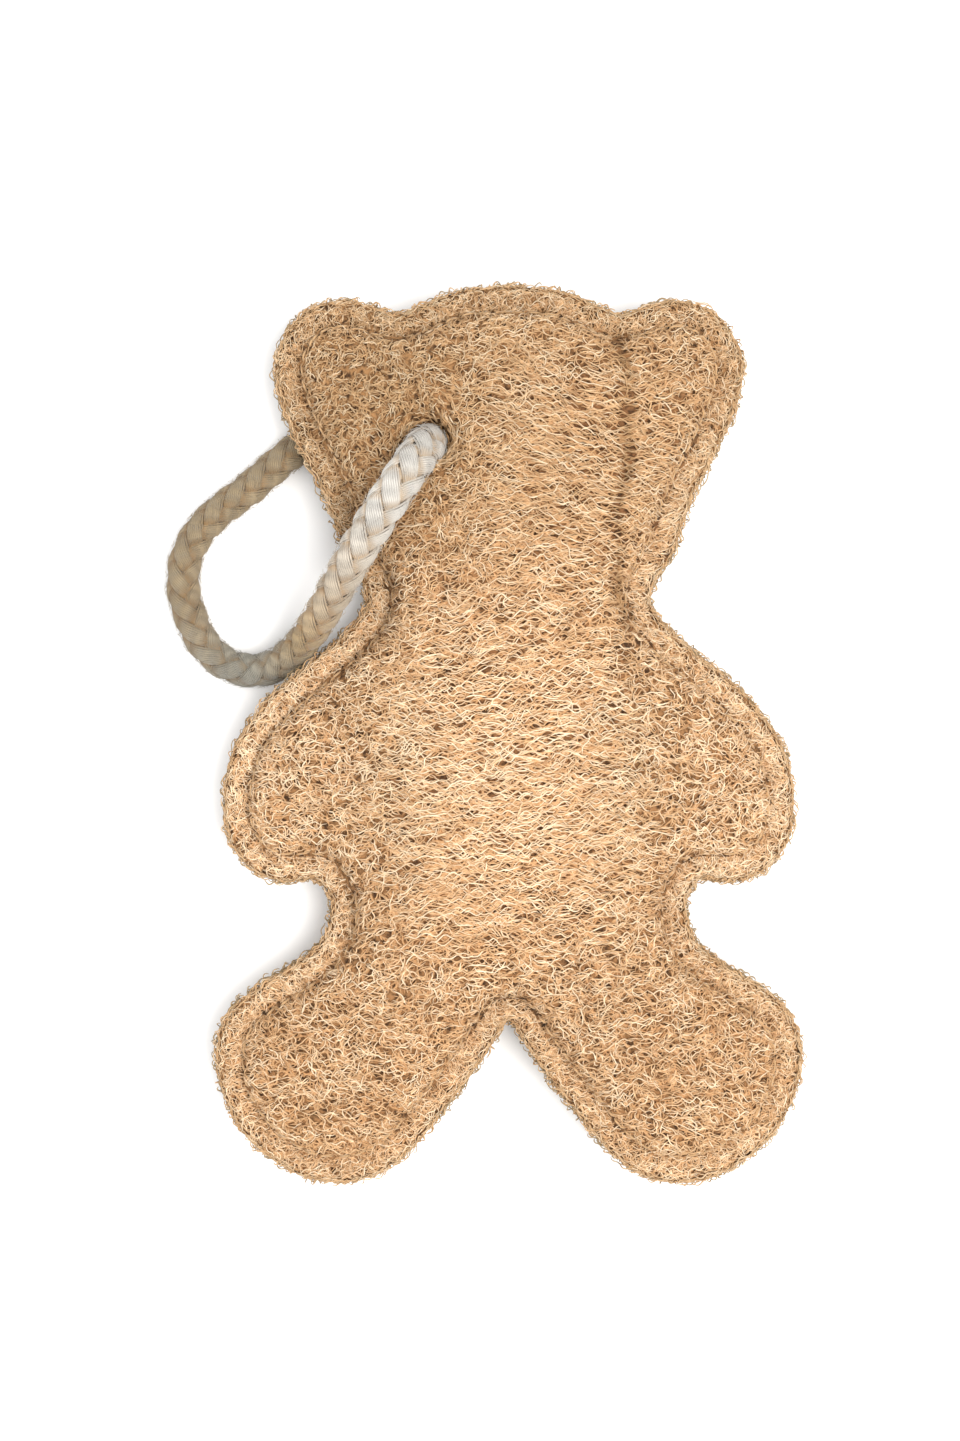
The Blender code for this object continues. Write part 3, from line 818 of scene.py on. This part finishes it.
class Pores:
    """The luffa's open pores. Fibres bend aside round them, and none crosses a pore's middle."""

    def __init__(self, rng, body):
        open_ones = sown(rng, body, PORE_SPACING, 0.35)
        clear = norm(open_ones - HOLE, axis=1) > HOLE_EDGE + 3 * MM
        open_ones = open_ones[clear & (body.depth(open_ones) > SEAM_INSET + 1 * MM)]
        level = level_share(open_ones)
        size = rng.uniform(0.24, 0.68, len(open_ones)) * MM * (0.85 + 0.15 * level)
        folded = crease(open_ones[:, 0], open_ones[:, 1]) / (1.5 * MM)
        stretch = 1 + rng.uniform(0.2, 1.1, len(open_ones)) * level
        fold_y = np.arange(12, 116, 2.2) * MM
        fold_x = crease_line(fold_y) + rng.uniform(-1.6, 1.6, len(fold_y)) * MM
        fold = np.column_stack([fold_x, fold_y])
        stitches = stitch_holes(body)
        centres = np.vstack([open_ones, fold, stitches])
        sizes = np.concatenate([
            size * (1 + 0.3 * folded), rng.uniform(0.45, 0.95, len(fold)) * MM,
            rng.uniform(0.1, 0.55, len(stitches)) * MM,
        ])
        stretch = np.concatenate([stretch, np.ones(len(fold) + len(stitches))])
        self.low = body.low
        self.moves = np.zeros((*(np.ceil(body.extent / PORE_CELL).astype(int) + 2), 3))
        for centre, hole, wide in zip(centres, sizes, stretch):
            self.open_one(centre, hole, wide)

    def open_one(self, centre, hole, wide):
        """Adds one pore's push to the grid, and marks its middle."""
        first = np.floor((centre - PORE_REACH * wide - self.low) / PORE_CELL).astype(int)
        last = np.ceil((centre + PORE_REACH * wide - self.low) / PORE_CELL).astype(int) + 1
        first, last = np.maximum(first, 0), np.minimum(last, self.moves.shape[:2])
        x, y = grid_places(self.low, PORE_CELL, first, last)
        x, y = x - centre[0], y - centre[1]
        away = np.maximum(np.hypot(x / wide, y), 0.05 * MM)
        fade = np.clip(1 - away / PORE_REACH, 0, 1) ** 2
        push = (np.sqrt(away**2 + hole**2) / away - 1) * fade
        part = self.moves[first[0]:last[0], first[1]:last[1]]
        part[..., 0] += push * x
        part[..., 1] += push * y
        part[..., 2] = np.maximum(part[..., 2], away < 0.5 * hole)

    def __call__(self, paths):
        """The plan lines bent round the pores, and which of them miss every pore's middle."""
        moved = between(self.moves, self.low, PORE_CELL, paths)
        return paths + moved[..., :2], moved[..., 2].max(axis=1) < 0.5


def headings(rng, body, starts):
    """Each fibre's heading: level in the chest, looser in the limbs, along a nearby edge."""
    level = level_share(starts)
    x, y = starts[:, 0], starts[:, 1]
    slow = np.radians(13) * np.sin(x / (21 * MM) + 1.3) * np.cos(y / (29 * MM))
    spread = np.radians(24) * level + np.radians(95) * (1 - level)
    heading = slow + spread * rng.standard_normal(len(starts))
    inward = body.inward(starts)
    by_edge = np.arctan2(inward[:, 0], -inward[:, 1]) + np.radians(38) * rng.standard_normal(len(starts))
    at_edge = body.depth(starts) < 1.6 * MM
    return np.where(at_edge, by_edge, heading)


def parted(paths):
    """The plan lines pushed aside by the rope in its hole, and which of them can be."""
    offset = paths - HOLE
    away = np.maximum(norm(offset, axis=-1, keepdims=True), 0.01 * MM)
    fade = np.clip(1 - (away - HOLE_EDGE) / HOLE_PUSH, 0, 1)
    pushed = np.sqrt(away**2 + ((HOLE_EDGE + 0.1 * MM) * fade) ** 2)
    return HOLE + offset / away * pushed, away.min(axis=(1, 2)) > 3.2 * MM


def wandering(rng, starts, heading, level, points):
    """Plan lines from the starts. They come in pairs that part and meet, which makes the luffa's net."""
    half = len(starts) // 2
    starts, heading, level = (np.repeat(v[:half], 2, axis=0) for v in (starts, heading, level))
    count = len(starts)

    def shared(low, high):
        return np.repeat(rng.uniform(low, high, half), 2)

    length = shared(2.6, 5.2) * MM + level * shared(1.4, 4.6) * MM
    size = (shared(3.2, 5.6) + 1.6 * level) * MM
    swing = np.radians(shared(22, 50) - 6 * level)
    drift = np.radians(shared(-60, 60)) * (1.15 - level)
    phase = shared(0, TURN) + np.tile([0, np.pi], half) + 0.5 * rng.standard_normal(count)
    at = np.linspace(0, 1, points)[None]
    run = at * length[:, None]
    turn = heading[:, None] + drift[:, None] * (at - 0.5)
    turn = turn + swing[:, None] * np.sin(TURN * run / size[:, None] + phase[:, None])
    step = (length / (points - 1))[:, None]
    move = direction(turn) * step[..., None]
    path = np.cumsum(move, axis=1)
    path = path - path[:, points // 2, None]
    return starts[:, None] + path + 0.15 * MM * rng.standard_normal((count, 1, 2))


def random_paths(rng, body, spacing, level_kept=1.0, only_flange=False):
    """Scattered fibres' plan lines, thinned out to level_kept where the level net lies."""
    starts = sown(rng, body, spacing, 0.4)
    if only_flange:
        starts = starts[body.depth(starts) < SEAM_INSET + 1.5 * MM]
    starts = starts[: len(starts) // 2 * 2]
    paths = wandering(rng, starts, headings(rng, body, starts), level_share(starts), FIBRE_POINTS)
    thinned = rng.uniform(size=len(paths)) < 1 - (1 - level_kept) * level_share(paths[:, 0])
    return paths[thinned]


def net_paths(rng, body):
    """Plan lines of the level net: neighbours swing apart and together, and leave lens-shaped cells."""
    low, high = body.box
    found = []
    shift = rng.uniform(0, 100 * MM, 2)
    for row, y in enumerate(np.arange(low[1], high[1], NET_ROW)):
        x = low[0] + rng.uniform(0, NET_RUN[1])
        while x < high[0]:
            run = rng.uniform(*NET_RUN)
            across = x + run * np.linspace(0, 1, NET_POINTS)
            found.append(np.column_stack([across, np.full(NET_POINTS, y), np.full(NET_POINTS, row % 2)]))
            x += 0.86 * run
    x, y, odd = np.moveaxis(np.array(found), -1, 0)
    near = x + shift[0], y + shift[1]
    phase = 2.2 * waves(rng, *near, 9 * MM, 22 * MM) + np.pi * odd
    swing = (0.62 + 0.22 * waves(rng, *near, 5 * MM, 14 * MM)) * NET_ROW
    y = y + swing * np.sin(TURN * near[0] / NET_CELL + phase)
    y = y + 3.2 * MM * waves(rng, *near, 45 * MM, 110 * MM)
    y = y + 0.5 * MM * waves(rng, *near, 8 * MM, 18 * MM)
    lean = rng.normal(0, 0.09, (len(y), 1)) * (x - x.mean(axis=1, keepdims=True))
    y = y + lean + 0.2 * MM * rng.standard_normal((len(y), 1))
    paths = np.stack([x, y], axis=-1)
    middle = paths[:, NET_POINTS // 2]
    kept = (rng.uniform(size=len(paths)) < 1.25 * level_share(middle)) & (body.depth(middle) > 0)
    return rng.permutation(paths[kept])


def drawer(rng, count):
    """A function that draws a number between two limits for each of count fibres."""
    return lambda low, high: rng.uniform(low, high, (count, 1))


def ripple(each, at, height, turns):
    """A wave of its own along each fibre."""
    return height * np.sin(at * each(*turns) + each(0, 6))


def add_fibres(name, lines, thick, normal, material, front, **values):
    add_luffa(name, tube_mesh(lines, thick, FIBRE_SIDES, normal, values), material, front)


def fibre_layer(name, rng, body, pores, material, front, paths, off, radius, deep, tints):
    """One layer of a panel's fibres. off is (lowest, highest) above the face, and the next argument how
    much painted shade browns them.
    """
    paths, missed = pores(paths)
    paths, clear = parted(paths)
    depth = body.depth(paths)
    stray = np.where(rng.uniform(size=len(paths)) < 0.02, -1.1 * MM, -0.25 * MM)
    most = FIBRES_IN_A_LAYER * (FIBRE_POINTS - 1) // (paths.shape[1] - 1)
    kept = np.flatnonzero((depth.min(axis=1) > stray) & clear & missed)[:most]
    paths, depth = paths[kept], depth[kept]
    at = np.linspace(-1, 1, paths.shape[1])[None]
    each = drawer(rng, len(paths))
    base = each(*off)
    weave = ripple(each, at, 0.16 * MM, (3, 7))
    dive = -0.55 * MM * np.abs(at) ** 4
    lines, normal = body.surface(paths, front, base + weave + dive)
    thin = 0.78 + 0.22 * level_share(paths[:, :1, :])
    thick = radius * thin * each(0.75, 1.25) * (1 - 0.45 * np.abs(at) ** 3)
    lines[..., 2] = np.maximum(lines[..., 2], thick + 0.05 * MM)
    flange = np.clip(1 - depth / SEAM_INSET, 0, 1)
    # Painted light pales the fibres on the chest and the arms.
    tint = rng.normal(tints, 0.26, (len(paths), 1)) + 0.2 * painted_light_share(paths) + 0.25 * flange - 0.13
    tint = np.clip(tint, 0, 1)
    # Painted shade browns the fibres in the seam's groove, in the crease and at their diving ends, as well
    # as in low layers.
    groove = np.exp(-(((depth - SEAM_INSET) / (1.6 * MM)) ** 2))
    folded = crease(paths[..., 0], paths[..., 1]) / CREASE_DEPTH if front else 0
    deeper = np.clip(deep + 0.2 * groove + 0.6 * folded + 0.2 * (at**4), 0, 1)
    # Painted shade greys the head, its left most, the body's sides, the cut edge and the crease.
    age = painted_shade_share(paths) + 0.5 * np.clip(1 - depth / (1.5 * MM), 0, 1) + 0.3 * folded
    add_fibres(name, lines, thick, normal, material, front, tint=tint, deep=deeper, age=age)


def stitch_holes(body):
    return even_points(body.outline + SEAM_INSET * ring_normals(body.outline), STITCH_LENGTH, True)


def hole_fibres(rng, body, material, front):
    """Fibres gathered round the rope where it goes through a panel."""
    each = drawer(rng, HOLE_FIBRES)
    at = np.linspace(0, 1, FIBRE_POINTS)[None]
    from_hole = HOLE_EDGE + each(0, 1) ** 1.5 * 2 * MM
    waver = ripple(each, at, 0.35 * MM, (3, 8))
    from_hole = np.maximum(from_hole + waver + 2.5 * MM * at * each(0, 1), HOLE_EDGE)
    turn = each(0, TURN) + at * each(3, 6.5) * MM / from_hole
    paths = HOLE + from_hole[..., None] * direction(turn)
    off = each(-0.5, 0.25) * MM - 0.5 * MM * np.abs(2 * at - 1) ** 4
    lines, normal = body.surface(paths, front, off)
    thick = HOLE_FIBRE_RADIUS * each(0.8, 1.2) * (1 - 0.4 * np.abs(2 * at - 1) ** 3)
    # Painted shade: browner towards the hole's edge round the rope, and greyed like the fibres round them.
    deep = np.clip(0.6 - (from_hole - HOLE_EDGE) / (6 * MM), 0, 1)
    tint = np.clip(rng.normal(0.45, 0.2, (HOLE_FIBRES, 1)), 0, 1)
    age = painted_shade_share(paths)
    add_fibres("hole_fibres", lines, thick, normal, material, front, tint=tint, deep=deep, age=age)


def rim_layer(rng, body, material, front, age):
    """Fibres along a panel's cut edge, with some ends standing out from it."""
    count = RIM_FIBRES
    each = drawer(rng, count)
    ring = body.outline
    closed = np.vstack([ring, ring[:1]])
    along = distances(closed)
    outward = -ring_normals(ring)
    outward = np.vstack([outward, outward[:1]])
    at = np.linspace(0, 1, FIBRE_POINTS)[None]
    length = each(1.8, 5.5) * MM
    tilt = np.radians(rng.normal(0, 45, (count, 1)))
    start = each(0, along[-1])
    spot = (start + length * at * np.cos(tilt)) % along[-1]
    bottom = SEAM_HEIGHT + HALF_GAP if front else SEAM_HEIGHT - HALF_GAP - PANEL_THICKNESS
    low, high = bottom + 0.25 * MM, bottom + PANEL_THICKNESS - 0.25 * MM
    height = each(low, high) + length * (at - 0.5) * np.sin(tilt)
    height = height + 0.25 * MM * np.sin(at * 7 + each(0, 6))
    height = np.clip(height, low, high)
    middle = bottom + PANEL_THICKNESS / 2
    belly = 0.7 * MM * (1 - ((height - middle) / (PANEL_THICKNESS / 2)) ** 2)
    stand = (each(-0.5, 0.1) + (0 if front else 0.5)) * MM
    loose = rng.uniform(size=(count, 1)) < 0.34
    lift = np.where(loose, each(0.2, 1.5) * MM, 0) * np.sin(2.2 * at) ** 2
    out = stand + lift + ripple(each, at, 0.22 * MM, (4, 9)) + belly - 0.5 * MM
    away = unit(read_along(spot, along, outward))
    plan = read_along(spot, along, closed) + out[..., None] * away
    lines = np.concatenate([plan, height[..., None]], axis=-1)
    normal = np.concatenate([away, np.full((*height.shape, 1), 0.1)], axis=-1)
    thick = RIM_FIBRE_RADIUS * each(0.8, 1.2) * (1 - 0.5 * (2 * at - 1) ** 4)
    tint = np.clip(rng.normal(0.45, 0.2, (count, 1)), 0, 1)
    # Painted shade browns the rim fibres a little.
    add_fibres("rim_fibres", lines, thick, normal, material, front, tint=tint, deep=0.15, age=age)


# ---- skins, stitches and filling


def plan_mesh(body, step):
    """Triangles over the outline less the rope's hole, with even points inside."""
    round_hole = direction(np.arange(HOLE_SIDES) * TURN / HOLE_SIDES)
    rings = [body.outline] + [
        even_points(body.outline + inset * ring_normals(body.outline), PAD_RING_STEP, True)
        for inset in PAD_RINGS
    ]
    rings += [HOLE + r * round_hole for r in HOLE_RINGS]
    low, high = body.box
    rows = np.arange(low[1], high[1], step * 3**0.5 / 2)
    grid = np.array([
        (x + (k % 2) * step / 2, y) for k, y in enumerate(rows) for x in np.arange(low[0], high[0], step)
    ])
    keep = (body.depth(grid) > PAD_GRID_INSET) & (norm(grid - HOLE, axis=1) > HOLE_GRID_GAP)
    points = np.vstack(rings + [grid[keep]])
    edges = []
    for number in (0, 3):
        first, size = sum(map(len, rings[:number])), len(rings[number])
        edges += [(first + i, first + (i + 1) % size) for i in range(size)]
    found, _, faces, *_ = delaunay_2d_cdt([Vector(p) for p in points], edges, [], 0, 1e-7)
    found = np.array([tuple(p) for p in found])
    faces = np.array([tuple(f) for f in faces])
    middle = found[faces].mean(axis=1)
    wanted = inside_ring(middle, rings[0]) & ~inside_ring(middle, rings[3])
    return found, faces[wanted]


def shell_mesh(points, faces, outer, inner):
    """A closed shell between an outer and an inner height over the same triangles."""
    count = len(points)
    edges = np.concatenate([faces[:, [0, 1]], faces[:, [1, 2]], faces[:, [2, 0]]])
    keys = {tuple(e) for e in edges}
    rim = np.array([e for e in keys if e[::-1] not in keys])
    high, low = np.maximum(outer, inner), np.minimum(outer, inner)
    verts = np.vstack([np.column_stack([points, high]), np.column_stack([points, low])])
    walls = np.column_stack([rim[:, 1], rim[:, 0], rim[:, 0] + count, rim[:, 1] + count])
    return mesh_of(verts, [faces, faces[:, ::-1] + count, walls])


def make_skin(body, points, faces, front, material):
    """The matted inside of one luffa panel, which shows between its fibres."""
    face = body.read(points, FRONT_GRIDS if front else BACK_GRIDS)[0]
    seam_side = SEAM_HEIGHT + HALF_GAP if front else SEAM_HEIGHT - HALF_GAP
    edge = body.depth(points) < SEAM_INSET
    outer = face - PAD_DEPTH if front else np.maximum(face + PAD_DEPTH, PAD_LOWEST)
    inwards, innermost = (-1, np.minimum) if front else (1, np.maximum)
    inner = np.where(edge, seam_side, outer + inwards * PAD_THICKNESS)
    inner = innermost(inner, outer + inwards * PAD_THINNEST)
    mesh = shell_mesh(points, faces, outer, inner)
    # Painted shade: near-black round the stitch holes.
    gap = norm(points[:, None] - stitch_holes(body)[None], axis=2).min(axis=1)
    add_values(mesh, "stitch_hole_shade", np.tile(np.exp(-((gap / (0.8 * MM)) ** 2)), 2))
    add_values(mesh, "netted", np.tile(level_share(points), 2))
    add_luffa("luffa_pad", mesh, material, front, f"{SIDES[front]}_panel")


def make_stitches(body, front, material):
    """Short stitches that lie in the seam's groove and dive through the luffa at each end."""
    holes = stitch_holes(body)
    ahead = np.roll(holes, -1, axis=0)
    at = np.linspace(0, 1, STITCH_POINTS)[None, :, None]
    run = ahead - holes
    lean = 0.25 * MM * unit(np.stack([-run[:, 1], run[:, 0]], axis=-1))
    plan = holes[:, None] * (1 - at) + ahead[:, None] * at + lean[:, None] * (2 * at - 1)
    from_middle = np.abs(2 * at[..., 0] - 1)
    lines, normal = body.surface(plan, front, 0.15 * MM - 1.5 * MM * from_middle**6)
    turn = np.arange(THREAD_SIDES) * TURN / THREAD_SIDES
    # Painted shade darkens each stitch towards its ends, where it dives into the luffa.
    values = {"sunk_shade": from_middle**4, "spin": 14 * at + turn}
    mesh = tube_mesh(lines, STITCH_RADIUS, THREAD_SIDES, normal, values)
    thread = "needle_thread" if front else "bobbin_thread"
    add_piece(f"{SIDES[front]}_stitches", mesh, material, "bear", thread)


def filling_material():
    """Loose pale waste fibre: clumped, and streaked with brown."""
    made, tree, shader = new_material("filling_fibre", 0.9, 0.2)
    clumps = noise(tree, 160, 5)
    stops = [(0.3, (0.34, 0.22, 0.11)), (0.5, (0.58, 0.45, 0.28)), (0.7, (0.74, 0.63, 0.45))]
    dress(tree, shader, colour_ramp(tree, clumps, stops), span(tree, clumps, 0.3, 0.7, 0.95, 0.8))
    bumped(tree, shader, noise(tree, 1400, 4), 0.4 * MM, 0.7)
    return made


def make_filling(material):
    """Each wad is the CAD's wad, made finer and lumpy, a little inside it."""
    clumps = bpy.data.textures.new("clumps", "CLOUDS")
    clumps.noise_scale = WAD_CLUMPS
    for node in ("head", "torso", "left_arm", "right_arm", "left_leg", "right_leg"):
        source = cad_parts[f"{node}_wad"]
        piece = add_object(f"{node}_filling", source.data.copy(), material)
        piece.data.materials.clear()
        piece.data.materials.append(material)
        remesh = piece.modifiers.new("remesh", "REMESH")
        remesh.mode = "VOXEL"
        remesh.voxel_size = WAD_VOXEL
        lumpy = piece.modifiers.new("lumpy", "DISPLACE")
        lumpy.texture = clumps
        lumpy.strength = WAD_LUMPS
        lumpy.mid_level = 0.9
        apply_modifiers(piece)
        piece.data.shade_smooth()
        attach(piece, "bear")
        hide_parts(f"{node}_wad")


def apply_modifiers(piece):
    """The piece keeps its evaluated mesh, and no modifier."""
    graph = bpy.context.evaluated_depsgraph_get()
    mesh = bpy.data.meshes.new_from_object(piece.evaluated_get(graph))
    piece.modifiers.clear()
    piece.data = mesh


def make_fibres(rng, body, warm, pale):
    """Both panels' fibres, from the lowest layers, browned with painted shade, up to the pale net on top.
    """
    pores = Pores(rng, body)
    # Each layer: its kind, how much of it stays under the net, heights, radius, painted-shade brownness
    # and tint.
    low, mid, top = (-0.80 * MM, -0.50 * MM), (-0.50 * MM, -0.15 * MM), (-0.10 * MM, 0.25 * MM)
    layers = [
        ("low", 1.0, low, 0.46 * MM, 0.70, 0.40), ("low", 1.0, low, 0.38 * MM, 0.50, 0.45),
        ("low", 1.0, low, 0.32 * MM, 0.35, 0.50), ("low", 0.55, mid, 0.29 * MM, 0.18, 0.52),
        ("low", 0.35, mid, 0.26 * MM, 0.08, 0.60), ("net", 1.0, mid, 0.25 * MM, 0.12, 0.50),
        ("low", 0.12, top, 0.24 * MM, 0.02, 0.78), ("net", 1.0, top, 0.24 * MM, 0.0, 0.74),
        ("flange", 1.0, mid, 0.23 * MM, 0.05, 0.45), ("flange", 1.0, top, 0.19 * MM, 0.0, 0.50),
    ]
    on_back = (0, 2, 3, 6, 9)  # the layers that the back panel has too
    for front in (True, False):
        material = warm if front else pale
        wanted = range(len(layers)) if front else on_back
        for number, index in enumerate(wanted, 1):
            kind, level_kept, *look = layers[index]
            if kind == "net":
                paths = net_paths(rng, body)
            elif kind == "flange":
                paths = random_paths(rng, body, FLANGE_SPACING, 1.0, True)
            else:
                spacing = FINE_SPACING if front and level_kept < 0.5 else FIBRE_SPACING
                paths = random_paths(rng, body, spacing, level_kept if front else 1.0)
            fibre_layer(f"fibres_{number}", rng, body, pores, material, front, paths, *look)


def make_bear():
    rng = np.random.default_rng(31)
    body = Body(rng)
    warm = fibre_material(
        "luffa_fibre", (0.49, 0.268, 0.124), (0.69, 0.44, 0.232), (0.90, 0.73, 0.52), (0.48, 0.25, 0.10)
    )
    # The back panel's fibres are a darker copy of the front's: painted shade.
    pale = fibre_material(
        "luffa_back_fibre_shaded", (0.44, 0.29, 0.15), (0.60, 0.44, 0.25), (0.78, 0.64, 0.43), (0.44, 0.24, 0.10)
    )
    points, faces = plan_mesh(body, PAD_STEP)
    pith = pith_material("luffa_pith", (0.34, 0.18, 0.075), (0.22, 0.10, 0.04), (0.05, 0.025, 0.012))
    make_skin(body, points, faces, True, pith)
    pith = pith_material("luffa_back_pith", (0.42, 0.25, 0.11), (0.28, 0.15, 0.06), (0.07, 0.04, 0.02))
    make_skin(body, points, faces, False, pith)
    make_fibres(rng, body, warm, pale)
    hole_fibres(rng, body, warm, True)
    hole_fibres(rng, body, pale, False)
    # Painted shade greys both rims, the back one most.
    rim_layer(rng, body, warm, True, 0.28)
    rim_layer(rng, body, pale, False, 0.75)
    thread = cotton_material("seam_thread", (0.60, 0.38, 0.19), (0.30, 0.17, 0.07))
    make_stitches(body, True, thread)
    make_stitches(body, False, thread)
    make_filling(filling_material())


# ---- floor and light


def make_floor():
    data = bpy.data.meshes.new("floor")
    corners = [(x * FLOOR_HALF, y * FLOOR_HALF, 0) for x, y in ((-1, -1), (1, -1), (1, 1), (-1, 1))]
    data.from_pydata(corners, [], [(0, 1, 2, 3)])
    made, tree, shader = new_material("floor", 0.9, 0.0)
    shade = colour_ramp(tree, noise(tree, 3), [(0.0, (0.93, 0.93, 0.93)), (1.0, (0.96, 0.96, 0.96))])
    tree.links.new(shade, shader.inputs["Base Color"])
    add_object("floor", data, made)


def soft_light(name, place, size, power, colour):
    data = bpy.data.lights.new(name, "AREA")
    data.shape = "DISK"
    data.size = size
    data.energy = power
    data.color = colour
    lamp = linked(name, data)
    lamp.location = place
    lamp.rotation_euler = (Vector((0, 0, 0.02)) - Vector(place)).to_track_quat("-Z", "Y").to_euler()


def make_light():
    soft_light("key", (0.35, -0.1, 1.2), 0.7, 16.0, (1.0, 0.98, 0.95))
    soft_light("fill", (-0.8, -0.3, 1.0), 1.2, 4.0, (0.96, 0.98, 1.0))
    world = bpy.data.worlds.new("studio")
    bpy.context.scene.world = world
    world.use_nodes = True
    background = world.node_tree.nodes["Background"]
    background.inputs["Color"].default_value = (1, 1, 1, 1)
    background.inputs["Strength"].default_value = 0.95
    bpy.context.scene.view_settings.view_transform = "Standard"


place_camera()
make_rope()
make_bear()
make_floor()
make_light()
